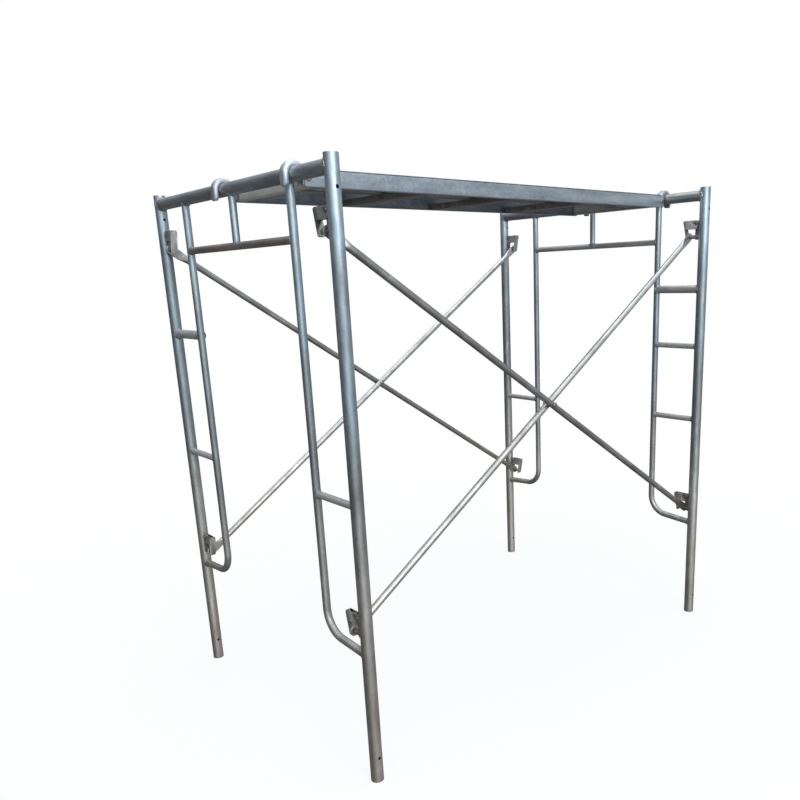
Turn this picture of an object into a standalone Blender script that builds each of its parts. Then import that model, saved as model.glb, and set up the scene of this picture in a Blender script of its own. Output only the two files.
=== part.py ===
"""Frame scaffold section: two walk-through ladder frames, four cross braces and a hook-on plank.

Metres, +Z up. The origin is on the ground at the centre of the bay. Frame A stands at -X and
frame B at +X, turned half a turn so that its ladder side faces the other way. Left is +Y and
right is -Y for a person who looks along +X.
"""

import math

import bmesh
import bpy
from mathutils import Matrix, Vector

# Driving dimensions of the bay
BAY_LENGTH = 1.829
FRAME_WIDTH = 1.219
FRAME_HEIGHT = 1.930
BRACE_STUD_SPACING = 1.219
GAP = 0.0003  # air between pieces that touch on the real object
COPE_GAP = 0.0007  # air between a tube's coped end and the tube that it is welded to

# Tubes: outside diameter, wall
LEG_OD, LEG_WALL = 0.0427, 0.0025
POST_OD, POST_WALL = 0.0269, 0.0020
BAR_OD, BAR_WALL = 0.0250, 0.0020
TOP_RUNG_OD, TOP_RUNG_WALL = 0.0337, 0.0022
RUNG_OD, RUNG_WALL = 0.0240, 0.0020
BRACE_OD, BRACE_WALL = 0.0240, 0.0016
LEG_SIDES, POST_SIDES, BRACE_SIDES = 24, 16, 12

# Heights on a frame
LEDGER_HEIGHT = 1.897
HEADER_HEIGHT = 1.718
MIDDLE_RUNG_HEIGHT = 0.937
A_TOP_RUNG_HEIGHT = 1.413
B_TOP_RUNG_HEIGHT = 1.512
B_UPPER_RUNG_HEIGHT = 1.264
LOWER_STUD_HEIGHT = 0.512
UPPER_STUD_HEIGHT = LOWER_STUD_HEIGHT + BRACE_STUD_SPACING
LOOP_END_HEIGHT = 0.447  # where an inner post's foot meets its leg
COUPLING_HOLE_FROM_END = 0.088
COUPLING_HOLE_DIAMETER = 0.011

# Inner posts
POST_OFFSET = 0.378  # from the frame's middle
POST_BEND_RADIUS = 0.085
POST_FOOT_SLOPE = math.radians(4)

# Brace studs and their locks; the offsets are measured inwards from a leg's centre line
OUTER_BRACE_OFFSET = 0.0435
INNER_BRACE_OFFSET = 0.0690
STUD_DIAMETER = 0.016
STUD_TIP_OFFSET = 0.0745
PIVOT_OFFSET = 0.0355
PIVOT_ABOVE_STUD = 0.056
PIVOT_PIN_DIAMETER = 0.008
PIN_HOLE_PLAY = 0.001
LUG_THICKNESS = 0.010
LUG_BACK_OFFSET = 0.0217
LUG_EYE_WALL = 0.005  # round the lock's pin
LUG_SHOULDER_DROP = 0.006  # from the eye down to the lug's front corner
LUG_BRACE_AIR = 0.0015  # between the lug's front and the outer brace
LUG_BELOW_STUD = 0.004
LOCK_SHEET = 0.003
LOCK_CHEEK_GAP = 0.011
LOCK_WEB_WIDTH = 0.026
LOCK_TOP_REACH = 0.019  # from the stud's tip to the web's top edge
LOCK_NOSE_AIR = 0.0015  # between the stud's tip and the web's nose
LOCK_TOP_ABOVE_PIN = 0.008
LOCK_NOSE_BELOW_STUD = 0.014
LOCK_CHEEK_ABOVE_STUD = 0.032
LOCK_HEEL = 0.004  # where a cheek's lower edge starts, below and in front of the pin
LOCK_PIN_PROUD = 0.002  # past each cheek

# Cross braces
BRACE_HOLE_DIAMETER = 0.0176
BRACE_FLAT_HALF_WIDTH = 0.0175
BRACE_FLAT_HALF_THICKNESS = 0.0024
BRACE_SLIT_HALF_THICKNESS = 0.0005
BRACE_FLAT_LENGTH = 0.034  # past the hole
BRACE_TRANSITION_LENGTH = 0.045
RIVET_DIAMETER = 0.008
RIVET_HOLE_DIAMETER = 0.0088
RIVET_HEAD_DIAMETER = 0.017
RIVET_HEAD_DOME = ((0.9, 0.002), (0.45, 0.004))  # share of the head's radius, height

# Plank
PLANK_CENTRE_Y = -0.170
PLANK_WIDTH = 0.500
PLANK_TOP = 1.914
DECK_THICKNESS = 0.002
DECK_LENGTH = 1.736
RAIL_DEPTH = 0.0497
RAIL_LENGTH = 1.776
SHEET = 0.002
END_CHANNEL_FLANGE = 0.025
STIFFENER_DEPTH = 0.028
STIFFENER_WIDTH = 0.044
STIFFENER_FLANGE = 0.012
RIB_DEPTH = 0.019
RIB_WIDTH = 0.050
RIB_FLANGE = 0.010
RIB_SPACING = 0.420
HOOK_WIDTH = 0.032
HOOK_DEPTH = 0.015  # over the ledger
HOOK_TONGUE_DEPTH = 0.024  # against the plank, where a rivet holds it to the rail
HOOK_TAPER_STEPS = 3  # of HOOK_STEPS, from the one depth to the other
HOOK_WALL = 0.004
HOOK_CORNER = 0.007
HOOK_LIP = 0.034  # how far an outer lip reaches below the ledger's centre line
HOOK_TONGUE = 0.028
RAIL_BOTTOM_LIP = 0.016
RAIL_TOP_LIP = 0.022
RAIL_LIP_CUTBACK = 0.022  # at each end, so that a hook fits beside the web
RAIL_LIP_ROOT = 0.0002  # left of a lip's bend where it is cut back
RAIL_HOLE_FROM_END = 0.014
RAIL_HOLE_DIAMETER = 0.009

# How finely curves are cut
DRILL_SIDES = 12
BEND_STEPS = 6
HOOK_STEPS = 8
EYE_STEPS = 8
CHEEK_STEPS = 5
TRANSITION_STEPS = 3

X_AXIS, Y_AXIS, Z_AXIS = Vector((1, 0, 0)), Vector((0, 1, 0)), Vector((0, 0, 1))
HALF_TURN = math.pi


def clear_scene():
    for obj in list(bpy.data.objects):
        bpy.data.objects.remove(obj)


def steel(name, colour, roughness):
    material = bpy.data.materials.new(name)
    material.use_nodes = True
    shader = material.node_tree.nodes["Principled BSDF"]
    shader.inputs["Base Color"].default_value = (*colour, 1)
    shader.inputs["Roughness"].default_value = roughness
    shader.inputs["Metallic"].default_value = 0.9
    return material


def mesh_from(name, bm):
    bmesh.ops.recalc_face_normals(bm, faces=bm.faces)
    mesh = bpy.data.meshes.new(name)
    bm.to_mesh(mesh)
    bm.free()
    mesh.shade_smooth()
    mesh.set_sharp_from_angle(angle=math.radians(35))
    return mesh


def add(name, mesh, material, parent=None, location=(0, 0, 0), turn=0.0):
    """A named object with its own slot for a material, placed under its parent."""
    obj = bpy.data.objects.new(name, mesh)
    bpy.context.scene.collection.objects.link(obj)
    if not mesh.materials:
        mesh.materials.append(None)
    obj.material_slots[0].link = "OBJECT"
    obj.material_slots[0].material = material
    obj.location = location
    obj.rotation_euler.z = turn
    obj.parent = parent
    return obj


def empty(name, location, turn=0.0):
    obj = bpy.data.objects.new(name, None)
    bpy.context.scene.collection.objects.link(obj)
    obj.location = location
    obj.rotation_euler.z = turn
    return obj


def helper(name, mesh):
    """A cutter or a piece to be joined, kept out of renders."""
    obj = bpy.data.objects.new(name, mesh)
    bpy.context.scene.collection.objects.link(obj)
    obj.hide_render = True
    obj.display_type = "WIRE"
    return obj


def combined(name, base, steps):
    """The mesh that is left when Boolean steps, (operation, mesh) pairs, are done on base."""
    body = helper(name, base)
    others = []
    for operation, mesh in steps:
        other = helper(name + "_step", mesh)
        modifier = body.modifiers.new(operation, "BOOLEAN")
        modifier.operation = operation
        modifier.object = other
        modifier.solver = "EXACT"
        others.append(other)
    bpy.context.view_layer.update()
    graph = bpy.context.evaluated_depsgraph_get()
    mesh = bpy.data.meshes.new_from_object(body.evaluated_get(graph))
    mesh.name = name
    for obj in [body, *others]:
        bpy.data.objects.remove(obj)
    mesh.shade_smooth()
    mesh.set_sharp_from_angle(angle=math.radians(35))
    return mesh


def cylinder(name, centre, direction, diameter, length, sides=16):
    bm = bmesh.new()
    bmesh.ops.create_cone(
        bm, cap_ends=True, segments=sides, radius1=diameter / 2, radius2=diameter / 2, depth=length
    )
    turn = Z_AXIS.rotation_difference(direction).to_matrix().to_4x4()
    bmesh.ops.transform(bm, matrix=Matrix.Translation(centre) @ turn, verts=bm.verts)
    return mesh_from(name, bm)


def extrusion(name, outline, along, start, end):
    """A prism: outline holds (u, v) pairs that run across the axis called along."""
    place = {
        "X": lambda u, v, w: (w, u, v),
        "Y": lambda u, v, w: (u, w, v),
    }[along]
    bm = bmesh.new()
    near = [bm.verts.new(place(u, v, start)) for u, v in outline]
    far = [bm.verts.new(place(u, v, end)) for u, v in outline]
    bm.faces.new(near)
    bm.faces.new(far)
    for i in range(len(outline)):
        bm.faces.new((near[i - 1], near[i], far[i], far[i - 1]))
    return mesh_from(name, bm)


def bent_sheet(path, thickness):
    """The outline of a sheet bent along path, with its thickness on the right of the path."""
    points = [Vector(p) for p in path]
    runs = [(b - a).normalized() for a, b in zip(points, points[1:])]
    normals = [Vector((run.y, -run.x)) for run in runs]
    outline = list(points)
    for i in reversed(range(len(points))):
        before = normals[max(i - 1, 0)]
        after = normals[min(i, len(normals) - 1)]
        mitre = (before + after) / (1 + before.dot(after))
        outline.append(points[i] + mitre * thickness)
    return [tuple(p) for p in outline]


# Tubes


def looped(name, rings):
    """A closed skin through a cycle of rings of equal length."""
    bm = bmesh.new()
    loops = [[bm.verts.new(point) for point in points] for points in rings]
    for this, following in zip(loops, loops[1:] + loops[:1]):
        for i in range(len(this)):
            bm.faces.new((this[i - 1], this[i], following[i], following[i - 1]))
    return mesh_from(name, bm)


def distance_to_tube(point, direction, tube):
    """How far point travels along direction to the skin of a tube, or to its nearest pass."""
    on_axis, axis, radius = tube
    offset = point - on_axis
    offset -= axis * offset.dot(axis)
    heading = direction - axis * direction.dot(axis)
    a = heading.length_squared
    b = offset.dot(heading)
    c = offset.length_squared - radius**2
    root = b * b - a * c
    return (-b - math.sqrt(max(root, 0))) / a


def tube(name, stations, diameter, wall, sides, start_on=None, end_on=None):
    """A hollow tube through (centre, direction) stations that lie in a plane square to X.

    start_on and end_on are the tubes (point on axis, axis, radius) that its ends are coped to.
    """
    skins = []
    for radius in (diameter / 2, diameter / 2 - wall):
        rings = []
        for index, (centre, direction) in enumerate(stations):
            up = direction.cross(X_AXIS)
            points = []
            for k in range(sides):
                angle = (k + 0.5) * 2 * math.pi / sides
                point = centre + radius * (math.cos(angle) * X_AXIS + math.sin(angle) * up)
                if index == 0 and start_on:
                    point -= direction * distance_to_tube(point, -direction, start_on)
                if index == len(stations) - 1 and end_on:
                    point += direction * distance_to_tube(point, direction, end_on)
                points.append(point)
            rings.append(points)
        skins.append(rings)
    outer, inner = skins
    return looped(name, outer + inner[::-1])


def straight(start, end):
    direction = (end - start).normalized()
    return [(start, direction), (end, direction)]


def clear_of(diameter):
    return diameter / 2 + COPE_GAP


def leg_mesh():
    axis = straight(Vector((0, 0, 0)), Vector((0, 0, FRAME_HEIGHT)))
    wall = tube("leg_tube", axis, LEG_OD, LEG_WALL, LEG_SIDES)
    cuts = []
    for height in (COUPLING_HOLE_FROM_END, FRAME_HEIGHT - COUPLING_HOLE_FROM_END):
        drill = cylinder(
            "coupling_hole",
            Vector((0, 0, height)),
            Y_AXIS,
            COUPLING_HOLE_DIAMETER,
            2 * LEG_OD,
            DRILL_SIDES,
        )
        cuts.append(("DIFFERENCE", drill))
    return combined("leg", wall, cuts)


def leg_axis(side):
    return Vector((0, side * FRAME_WIDTH / 2, 0)), Z_AXIS, clear_of(LEG_OD)


def post_axis(side):
    return Vector((0, side * POST_OFFSET, 0)), Z_AXIS, clear_of(POST_OD)


def ledger_mesh():
    middle = Vector((0, 0, LEDGER_HEIGHT))
    reach = Y_AXIS * POST_OFFSET
    return tube(
        "ledger",
        straight(middle - reach, middle + reach),
        LEG_OD,
        LEG_WALL,
        LEG_SIDES,
        leg_axis(-1),
        leg_axis(1),
    )


def inner_post_mesh():
    """From the ledger down, round a bend, and out to the leg on the +Y side."""
    sweep = math.pi / 2 - POST_FOOT_SLOPE
    foot = Vector((0, math.cos(POST_FOOT_SLOPE), -math.sin(POST_FOOT_SLOPE)))
    leg_surface = FRAME_WIDTH / 2 - LEG_OD / 2
    bend_end_y = POST_OFFSET + POST_BEND_RADIUS * (1 - math.cos(sweep))
    bend_end_z = LOOP_END_HEIGHT + (leg_surface - bend_end_y) * math.tan(POST_FOOT_SLOPE)
    centre = Vector((0, POST_OFFSET + POST_BEND_RADIUS, bend_end_z + POST_BEND_RADIUS * math.sin(sweep)))
    stations = [(Vector((0, POST_OFFSET, HEADER_HEIGHT)), -Z_AXIS)]
    for step in range(BEND_STEPS + 1):
        angle = sweep * step / BEND_STEPS
        arm = Vector((0, -math.cos(angle), -math.sin(angle)))
        direction = Vector((0, math.sin(angle), -math.cos(angle)))
        stations.append((centre + POST_BEND_RADIUS * arm, direction))
    last = stations[-1][0] + foot * (POST_BEND_RADIUS / 2)
    stations.append((last, foot))
    ledger = (Vector((0, 0, LEDGER_HEIGHT)), Y_AXIS, clear_of(LEG_OD))
    return tube("inner_post", stations, POST_OD, POST_WALL, POST_SIDES, ledger, leg_axis(1))


def header_bar_mesh():
    middle = Vector((0, 0, HEADER_HEIGHT))
    reach = Y_AXIS * POST_OFFSET / 2
    return tube(
        "header_bar",
        straight(middle - reach, middle + reach),
        BAR_OD,
        BAR_WALL,
        POST_SIDES,
        post_axis(-1),
        post_axis(1),
    )


def header_strut_mesh():
    middle = Vector((0, 0, (HEADER_HEIGHT + LEDGER_HEIGHT) / 2))
    reach = Z_AXIS * BAR_OD
    bar = (Vector((0, 0, HEADER_HEIGHT)), Y_AXIS, clear_of(BAR_OD))
    ledger = (Vector((0, 0, LEDGER_HEIGHT)), Y_AXIS, clear_of(LEG_OD))
    axis = straight(middle - reach, middle + reach)
    return tube("header_strut", axis, BAR_OD, BAR_WALL, POST_SIDES, bar, ledger)


def rung_mesh(name, diameter, wall, sides):
    """A rung at height 0 between the +Y inner post and its leg."""
    middle = Vector((0, (POST_OFFSET + FRAME_WIDTH / 2) / 2, 0))
    reach = Y_AXIS * diameter
    return tube(
        name,
        straight(middle - reach, middle + reach),
        diameter,
        wall,
        sides,
        post_axis(1),
        leg_axis(1),
    )


# Brace studs and locks: local origin on the lock's pivot, +Y pointing away from the leg


def arc(centre, radius, start, end, steps):
    return [
        (
            centre[0] + radius * math.cos(start + (end - start) * i / steps),
            centre[1] + radius * math.sin(start + (end - start) * i / steps),
        )
        for i in range(steps + 1)
    ]


def stud_mesh():
    """A round stud with a lug above it that carries the lock's pin."""
    back = LUG_BACK_OFFSET - PIVOT_OFFSET
    front = OUTER_BRACE_OFFSET - BRACE_FLAT_HALF_THICKNESS - LUG_BRACE_AIR - PIVOT_OFFSET
    eye = PIVOT_PIN_DIAMETER / 2 + LUG_EYE_WALL
    low = -PIVOT_ABOVE_STUD - STUD_DIAMETER / 2 - LUG_BELOW_STUD
    outline = [(back, low), (front, low), (front, -eye - LUG_SHOULDER_DROP)]
    outline += arc((0, 0), eye, -math.pi / 6, math.pi, EYE_STEPS)
    outline += [(back, 0)]
    lug = extrusion("lug", outline, "X", -LUG_THICKNESS / 2, LUG_THICKNESS / 2)
    stud_length = STUD_TIP_OFFSET - LUG_BACK_OFFSET
    stud_middle = Vector((0, back + stud_length / 2, -PIVOT_ABOVE_STUD))
    stud = cylinder("stud", stud_middle, Y_AXIS, STUD_DIAMETER, stud_length)
    hole_diameter = PIVOT_PIN_DIAMETER + PIN_HOLE_PLAY
    pin_hole = cylinder("pin_hole", Vector(), X_AXIS, hole_diameter, 2 * LUG_THICKNESS)
    return combined("brace_stud", lug, [("DIFFERENCE", pin_hole), ("UNION", stud)])


def lock_mesh():
    """A folded keeper: two cheeks on a pin, and a web whose nose hangs in front of the stud."""
    top = PIVOT_PIN_DIAMETER / 2 + LOCK_TOP_ABOVE_PIN
    nose = -PIVOT_ABOVE_STUD - LOCK_NOSE_BELOW_STUD
    top_reach = STUD_TIP_OFFSET + LOCK_TOP_REACH - PIVOT_OFFSET
    nose_reach = STUD_TIP_OFFSET + LOCK_NOSE_AIR - PIVOT_OFFSET
    cheek_low = -PIVOT_ABOVE_STUD + LOCK_CHEEK_ABOVE_STUD
    low_reach = nose_reach + (top_reach - nose_reach) * (cheek_low - nose) / (top - nose)
    cheek = arc((0, 0), top, math.pi / 2, math.pi, CHEEK_STEPS)
    cheek += [(-top, -LOCK_HEEL), (-LOCK_HEEL, cheek_low)]
    cheek += [(low_reach + LOCK_SHEET / 2, cheek_low), (top_reach + LOCK_SHEET / 2, top)]
    half_gap = LOCK_CHEEK_GAP / 2
    left = extrusion("cheek_left", cheek, "X", half_gap, half_gap + LOCK_SHEET)
    right = extrusion("cheek_right", cheek, "X", -half_gap - LOCK_SHEET, -half_gap)
    web_outline = [
        (nose_reach, nose),
        (nose_reach + LOCK_SHEET, nose),
        (top_reach + LOCK_SHEET, top),
        (top_reach, top),
    ]
    web = extrusion("web", web_outline, "X", -LOCK_WEB_WIDTH / 2, LOCK_WEB_WIDTH / 2)
    pin_length = LOCK_CHEEK_GAP + 2 * LOCK_SHEET + 2 * LOCK_PIN_PROUD
    pin = cylinder("pin", Vector(), X_AXIS, PIVOT_PIN_DIAMETER, pin_length, DRILL_SIDES)
    return combined("brace_lock", web, [("UNION", left), ("UNION", right), ("UNION", pin)])


# Cross braces: local +X from the hole at frame A to the hole at frame B


def brace_ring(along, radius, half_width, half_thickness, flatness):
    """A section between a circle (flatness 0) and a pressed stadium (flatness 1)."""
    points = []
    for k in range(BRACE_SIDES):
        angle = (k + 0.5) * 2 * math.pi / BRACE_SIDES
        c, s = math.cos(angle), math.sin(angle)
        flat = math.copysign(half_width - half_thickness, c) + half_thickness * c
        z = radius * c + (flat - radius * c) * flatness
        y = radius * s + (half_thickness * s - radius * s) * flatness
        points.append(Vector((along, y, z)))
    return points


def brace_half(length, inset):
    """Rings from the round middle to the tip at local X = length / 2, inset from the skin."""
    radius = BRACE_OD / 2 - inset
    half_thickness = BRACE_SLIT_HALF_THICKNESS if inset else BRACE_FLAT_HALF_THICKNESS
    hole = length / 2
    flat_start = hole - BRACE_FLAT_LENGTH
    rings = []
    for step in range(TRANSITION_STEPS + 1):
        share = step / TRANSITION_STEPS
        along = flat_start - BRACE_TRANSITION_LENGTH * (1 - share)
        flatness = share * share * (3 - 2 * share)
        half_width = BRACE_FLAT_HALF_WIDTH - inset
        rings.append(brace_ring(along, radius, half_width, half_thickness, flatness))
    for angle in (0, math.radians(45), math.radians(75)):
        half_width = BRACE_FLAT_HALF_WIDTH * math.cos(angle) - inset
        along = hole + BRACE_FLAT_HALF_WIDTH * math.sin(angle)
        rings.append(brace_ring(along, radius, half_width, half_thickness, 1))
    return rings


def brace_mesh(length):
    skins = []
    for inset in (0, BRACE_WALL):
        half = brace_half(length, inset)
        other = [[Vector((-p.x, p.y, p.z)) for p in ring] for ring in reversed(half)]
        skins.append(other + half)
    outer, inner = skins
    body = looped("brace_tube", outer + inner[::-1])
    drills = [
        cylinder("stud_hole", Vector((end * length / 2, 0, 0)), Y_AXIS, BRACE_HOLE_DIAMETER, BRACE_OD)
        for end in (-1, 1)
    ]
    rivet_hole = cylinder(
        "rivet_hole", Vector(), Y_AXIS, RIVET_HOLE_DIAMETER, 2 * BRACE_OD, DRILL_SIDES
    )
    drills.append(rivet_hole)
    return combined("brace", body, [("DIFFERENCE", drill) for drill in drills])


def rivet_mesh():
    """A shank with a domed head on each outer side of the crossed tubes."""
    half = (INNER_BRACE_OFFSET - OUTER_BRACE_OFFSET) / 2 + BRACE_OD / 2 + GAP
    head = RIVET_HEAD_DIAMETER / 2
    profile = [(RIVET_DIAMETER / 2, half), (head, half)]
    profile += [(head * share, half + height) for share, height in RIVET_HEAD_DOME]
    mirrored = [(r, -y) for r, y in reversed(profile)]
    angles = [k * 2 * math.pi / DRILL_SIDES for k in range(DRILL_SIDES)]
    bm = bmesh.new()
    loops = [
        [bm.verts.new((radius * math.cos(a), along, radius * math.sin(a))) for a in angles]
        for radius, along in mirrored + profile
    ]
    for this, following in zip(loops, loops[1:]):
        for i in range(DRILL_SIDES):
            bm.faces.new((this[i - 1], this[i], following[i], following[i - 1]))
    bm.faces.new(loops[0])
    bm.faces.new(loops[-1])
    return mesh_from("brace_rivet", bm)


# Plank


def hat_section(width, depth, flange):
    """An open hat, flanges up, as a bent sheet with its base at height 0."""
    half = width / 2
    left = [(-half - flange, depth), (-half, depth), (-half, SHEET)]
    right = [(-u, v) for u, v in reversed(left)]
    return bent_sheet(left + right, SHEET)


def hook_section(depth):
    """A pressed U, open towards the ledger: (across, outwards) points."""
    half, wall, corner = HOOK_WIDTH / 2, HOOK_WALL, HOOK_CORNER
    outer = [(-half, 0), (-half, depth - corner), (-half + corner, depth)]
    outer += [(half - corner, depth), (half, depth - corner), (half, 0)]
    inner = [(half - wall, 0), (half - wall, depth - corner - wall / 2), (half - corner, depth - wall)]
    inner += [(-half + corner, depth - wall), (-half + wall, depth - corner - wall / 2), (-half + wall, 0)]
    return outer + inner


def hook_mesh():
    """A pressed U section swept over the ledger; local origin on the ledger's axis, +X to the plank."""
    radius = (LEG_OD / 2 + GAP) / math.cos(math.pi / HOOK_STEPS / 2)
    stations = [(Vector((radius, 0, -HOOK_TONGUE)), X_AXIS, HOOK_TONGUE_DEPTH)]
    for step in range(HOOK_STEPS + 1):
        angle = math.pi * step / HOOK_STEPS
        outward = Vector((math.cos(angle), 0, math.sin(angle)))
        taper = min(step / HOOK_TAPER_STEPS, 1)
        depth = HOOK_TONGUE_DEPTH + (HOOK_DEPTH - HOOK_TONGUE_DEPTH) * taper
        stations.append((radius * outward, outward, depth))
    stations.append((Vector((-radius, 0, -HOOK_LIP)), -X_AXIS, HOOK_DEPTH))
    bm = bmesh.new()
    loops = []
    for base, outward, depth in stations:
        loops.append([bm.verts.new(base + Y_AXIS * u + outward * v) for u, v in hook_section(depth)])
    for this, following in zip(loops, loops[1:]):
        for i in range(len(this)):
            bm.faces.new((this[i - 1], this[i], following[i], following[i - 1]))
    bm.faces.new(loops[0])
    bm.faces.new(loops[-1])
    return mesh_from("plank_hook", bm)


def lip_notch(end):
    """Cuts both lips of a rail away at one end and leaves its web."""
    start = end * (RAIL_LENGTH / 2 - RAIL_LIP_CUTBACK)
    stop = end * (RAIL_LENGTH / 2 + RAIL_LIP_CUTBACK)
    low, high = -RAIL_DEPTH, 2 * RAIL_DEPTH
    outline = [(start, low), (stop, low), (stop, high), (start, high)]
    return extrusion("lip_notch", outline, "Y", SHEET + RAIL_LIP_ROOT, RAIL_DEPTH)


def rail_mesh():
    """A C channel along X, its web on the local plane Y = 0 and its lips towards +Y."""
    path = [(RAIL_BOTTOM_LIP, 0), (0, 0), (0, RAIL_DEPTH), (RAIL_TOP_LIP, RAIL_DEPTH)]
    half = RAIL_LENGTH / 2
    channel = extrusion("rail_channel", bent_sheet(path, SHEET), "X", -half, half)
    cuts = []
    for end in (-1, 1):
        centre = Vector((end * (half - RAIL_HOLE_FROM_END), 0, RAIL_DEPTH / 2))
        hole = cylinder("rail_hole", centre, Y_AXIS, RAIL_HOLE_DIAMETER, 4 * SHEET, DRILL_SIDES)
        cuts += [("DIFFERENCE", hole), ("DIFFERENCE", lip_notch(end))]
    return combined("plank_rail", channel, cuts)


def build_frame(letter, x, turn, rungs, shared):
    """One ladder frame. Its ladder side is local +Y; rungs lists (name, mesh, height) there."""
    frame = empty("frame_" + letter, (x, 0, 0), turn)
    side_names = {1: "left", -1: "right"} if turn == 0 else {1: "right", -1: "left"}
    prefix = letter + "_"
    add(prefix + "ledger", shared.ledger, shared.bright, frame)
    add(prefix + "header_bar", shared.header_bar, shared.worn, frame)
    add(prefix + "header_strut", shared.header_strut, shared.bright, frame)
    for side, side_name in side_names.items():
        leg_y = side * FRAME_WIDTH / 2
        facing = 0 if side > 0 else HALF_TURN
        add(prefix + "leg_" + side_name, shared.leg, shared.bright, frame, (0, leg_y, 0))
        add(prefix + "inner_post_" + side_name, shared.inner_post, shared.bright, frame, turn=facing)
        height = (0, 0, MIDDLE_RUNG_HEIGHT)
        add(prefix + "middle_rung_" + side_name, shared.rung, shared.worn, frame, height, facing)
        for level, stud_height in (("lower", LOWER_STUD_HEIGHT), ("upper", UPPER_STUD_HEIGHT)):
            pivot_y = leg_y - side * PIVOT_OFFSET
            pivot = (0, pivot_y, stud_height + PIVOT_ABOVE_STUD)
            inward = HALF_TURN - facing
            place = side_name + "_" + level
            add(prefix + "stud_" + place, shared.stud, shared.worn, frame, pivot, inward)
            add(prefix + "lock_" + place, shared.lock, shared.bright, frame, pivot, inward)
    for name, mesh, height in rungs:
        add(prefix + name + "_" + side_names[1], mesh, shared.worn, frame, (0, 0, height))


class SharedParts:
    """The meshes and materials that both frames use."""

    def __init__(self):
        self.bright = steel("galvanised_bright", (0.56, 0.61, 0.66), 0.38)
        self.worn = steel("galvanised_worn", (0.40, 0.39, 0.36), 0.5)
        self.leg = leg_mesh()
        self.ledger = ledger_mesh()
        self.inner_post = inner_post_mesh()
        self.header_bar = header_bar_mesh()
        self.header_strut = header_strut_mesh()
        self.rung = rung_mesh("rung", RUNG_OD, RUNG_WALL, POST_SIDES)
        self.top_rung = rung_mesh("top_rung", TOP_RUNG_OD, TOP_RUNG_WALL, LEG_SIDES)
        self.stud = stud_mesh()
        self.lock = lock_mesh()


def build_braces():
    """Each side has a falling brace next to the legs and a rising one inside it."""
    length = math.hypot(BAY_LENGTH, BRACE_STUD_SPACING)
    tilt = math.atan2(BRACE_STUD_SPACING, BAY_LENGTH)
    mesh = brace_mesh(length)
    rivet = rivet_mesh()
    pale = steel("galvanised_brace", (0.55, 0.53, 0.48), 0.42)
    dark = steel("galvanised_brace_dark", (0.33, 0.35, 0.34), 0.45)
    height = (LOWER_STUD_HEIGHT + UPPER_STUD_HEIGHT) / 2
    for side, side_name in ((1, "left"), (-1, "right")):
        leg_y = side * FRAME_WIDTH / 2
        outer_y = leg_y - side * OUTER_BRACE_OFFSET
        inner_y = leg_y - side * INNER_BRACE_OFFSET
        falling = add("brace_falling_" + side_name, mesh, dark, location=(0, outer_y, height))
        falling.rotation_euler.y = tilt
        rising = add("brace_rising_" + side_name, mesh, pale, location=(0, inner_y, height))
        rising.rotation_euler.y = -tilt
        add("brace_rivet_" + side_name, rivet, dark, location=(0, (outer_y + inner_y) / 2, height))


def build_plank():
    plank = empty("plank", (0, PLANK_CENTRE_Y, PLANK_TOP))
    sheet = steel("galvanised_sheet", (0.55, 0.60, 0.66), 0.42)
    under = steel("galvanised_sheet_dull", (0.36, 0.35, 0.33), 0.55)
    half_width = PLANK_WIDTH / 2
    deck_half = DECK_LENGTH / 2
    rail_base = -DECK_THICKNESS - GAP - RAIL_DEPTH
    deck_outline = bent_sheet([(-half_width, 0), (half_width, 0)], DECK_THICKNESS)
    deck = extrusion("plank_deck", deck_outline, "X", -deck_half, deck_half)
    add("plank_deck", deck, sheet, plank)
    rail = rail_mesh()
    add("plank_rail_right", rail, sheet, plank, (0, -half_width, rail_base))
    add("plank_rail_left", rail, sheet, plank, (0, half_width, rail_base), HALF_TURN)
    inside = half_width - SHEET - GAP
    channel_depth = RAIL_DEPTH - 2 * SHEET - 2 * GAP
    path = [(-END_CHANNEL_FLANGE, channel_depth), (0, channel_depth)]
    path += [(0, 0), (-END_CHANNEL_FLANGE, 0)]
    channel = extrusion("plank_end", bent_sheet(path, SHEET), "Y", -inside, inside)
    channel_base = rail_base + SHEET + GAP
    add("plank_end_b", channel, under, plank, (deck_half, 0, channel_base))
    add("plank_end_a", channel, under, plank, (-deck_half, 0, channel_base), HALF_TURN)
    stiffener_half = deck_half - END_CHANNEL_FLANGE - GAP
    section = hat_section(STIFFENER_WIDTH, STIFFENER_DEPTH, STIFFENER_FLANGE)
    stiffener = extrusion("plank_stiffener", section, "X", -stiffener_half, stiffener_half)
    stiffener_base = -DECK_THICKNESS - GAP - STIFFENER_DEPTH
    add("plank_stiffener", stiffener, under, plank, (0, 0, stiffener_base))
    rib_section = hat_section(RIB_WIDTH, RIB_DEPTH, RIB_FLANGE)
    rib = extrusion("plank_rib", rib_section, "Y", -inside, inside)
    for index in (-1, 0, 1):
        place = (index * RIB_SPACING, 0, channel_base)
        add(f"plank_rib_{index + 2}", rib, under, plank, place)
    hook = hook_mesh()
    hook_y = half_width - SHEET - 2 * GAP - HOOK_WIDTH / 2
    ledger_z = LEDGER_HEIGHT - PLANK_TOP
    for letter, x, turn in (("a", -BAY_LENGTH / 2, 0.0), ("b", BAY_LENGTH / 2, HALF_TURN)):
        for side, side_name in ((1, "left"), (-1, "right")):
            place = (x, side * hook_y, ledger_z)
            add(f"plank_hook_{letter}_{side_name}", hook, sheet, plank, place, turn)


def main():
    clear_scene()
    shared = SharedParts()
    a_rungs = [("top_rung", shared.top_rung, A_TOP_RUNG_HEIGHT)]
    b_rungs = [
        ("top_rung", shared.top_rung, B_TOP_RUNG_HEIGHT),
        ("upper_rung", shared.rung, B_UPPER_RUNG_HEIGHT),
    ]
    build_frame("a", -BAY_LENGTH / 2, 0.0, a_rungs, shared)
    build_frame("b", BAY_LENGTH / 2, HALF_TURN, b_rungs, shared)
    build_braces()
    build_plank()


main()
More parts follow.
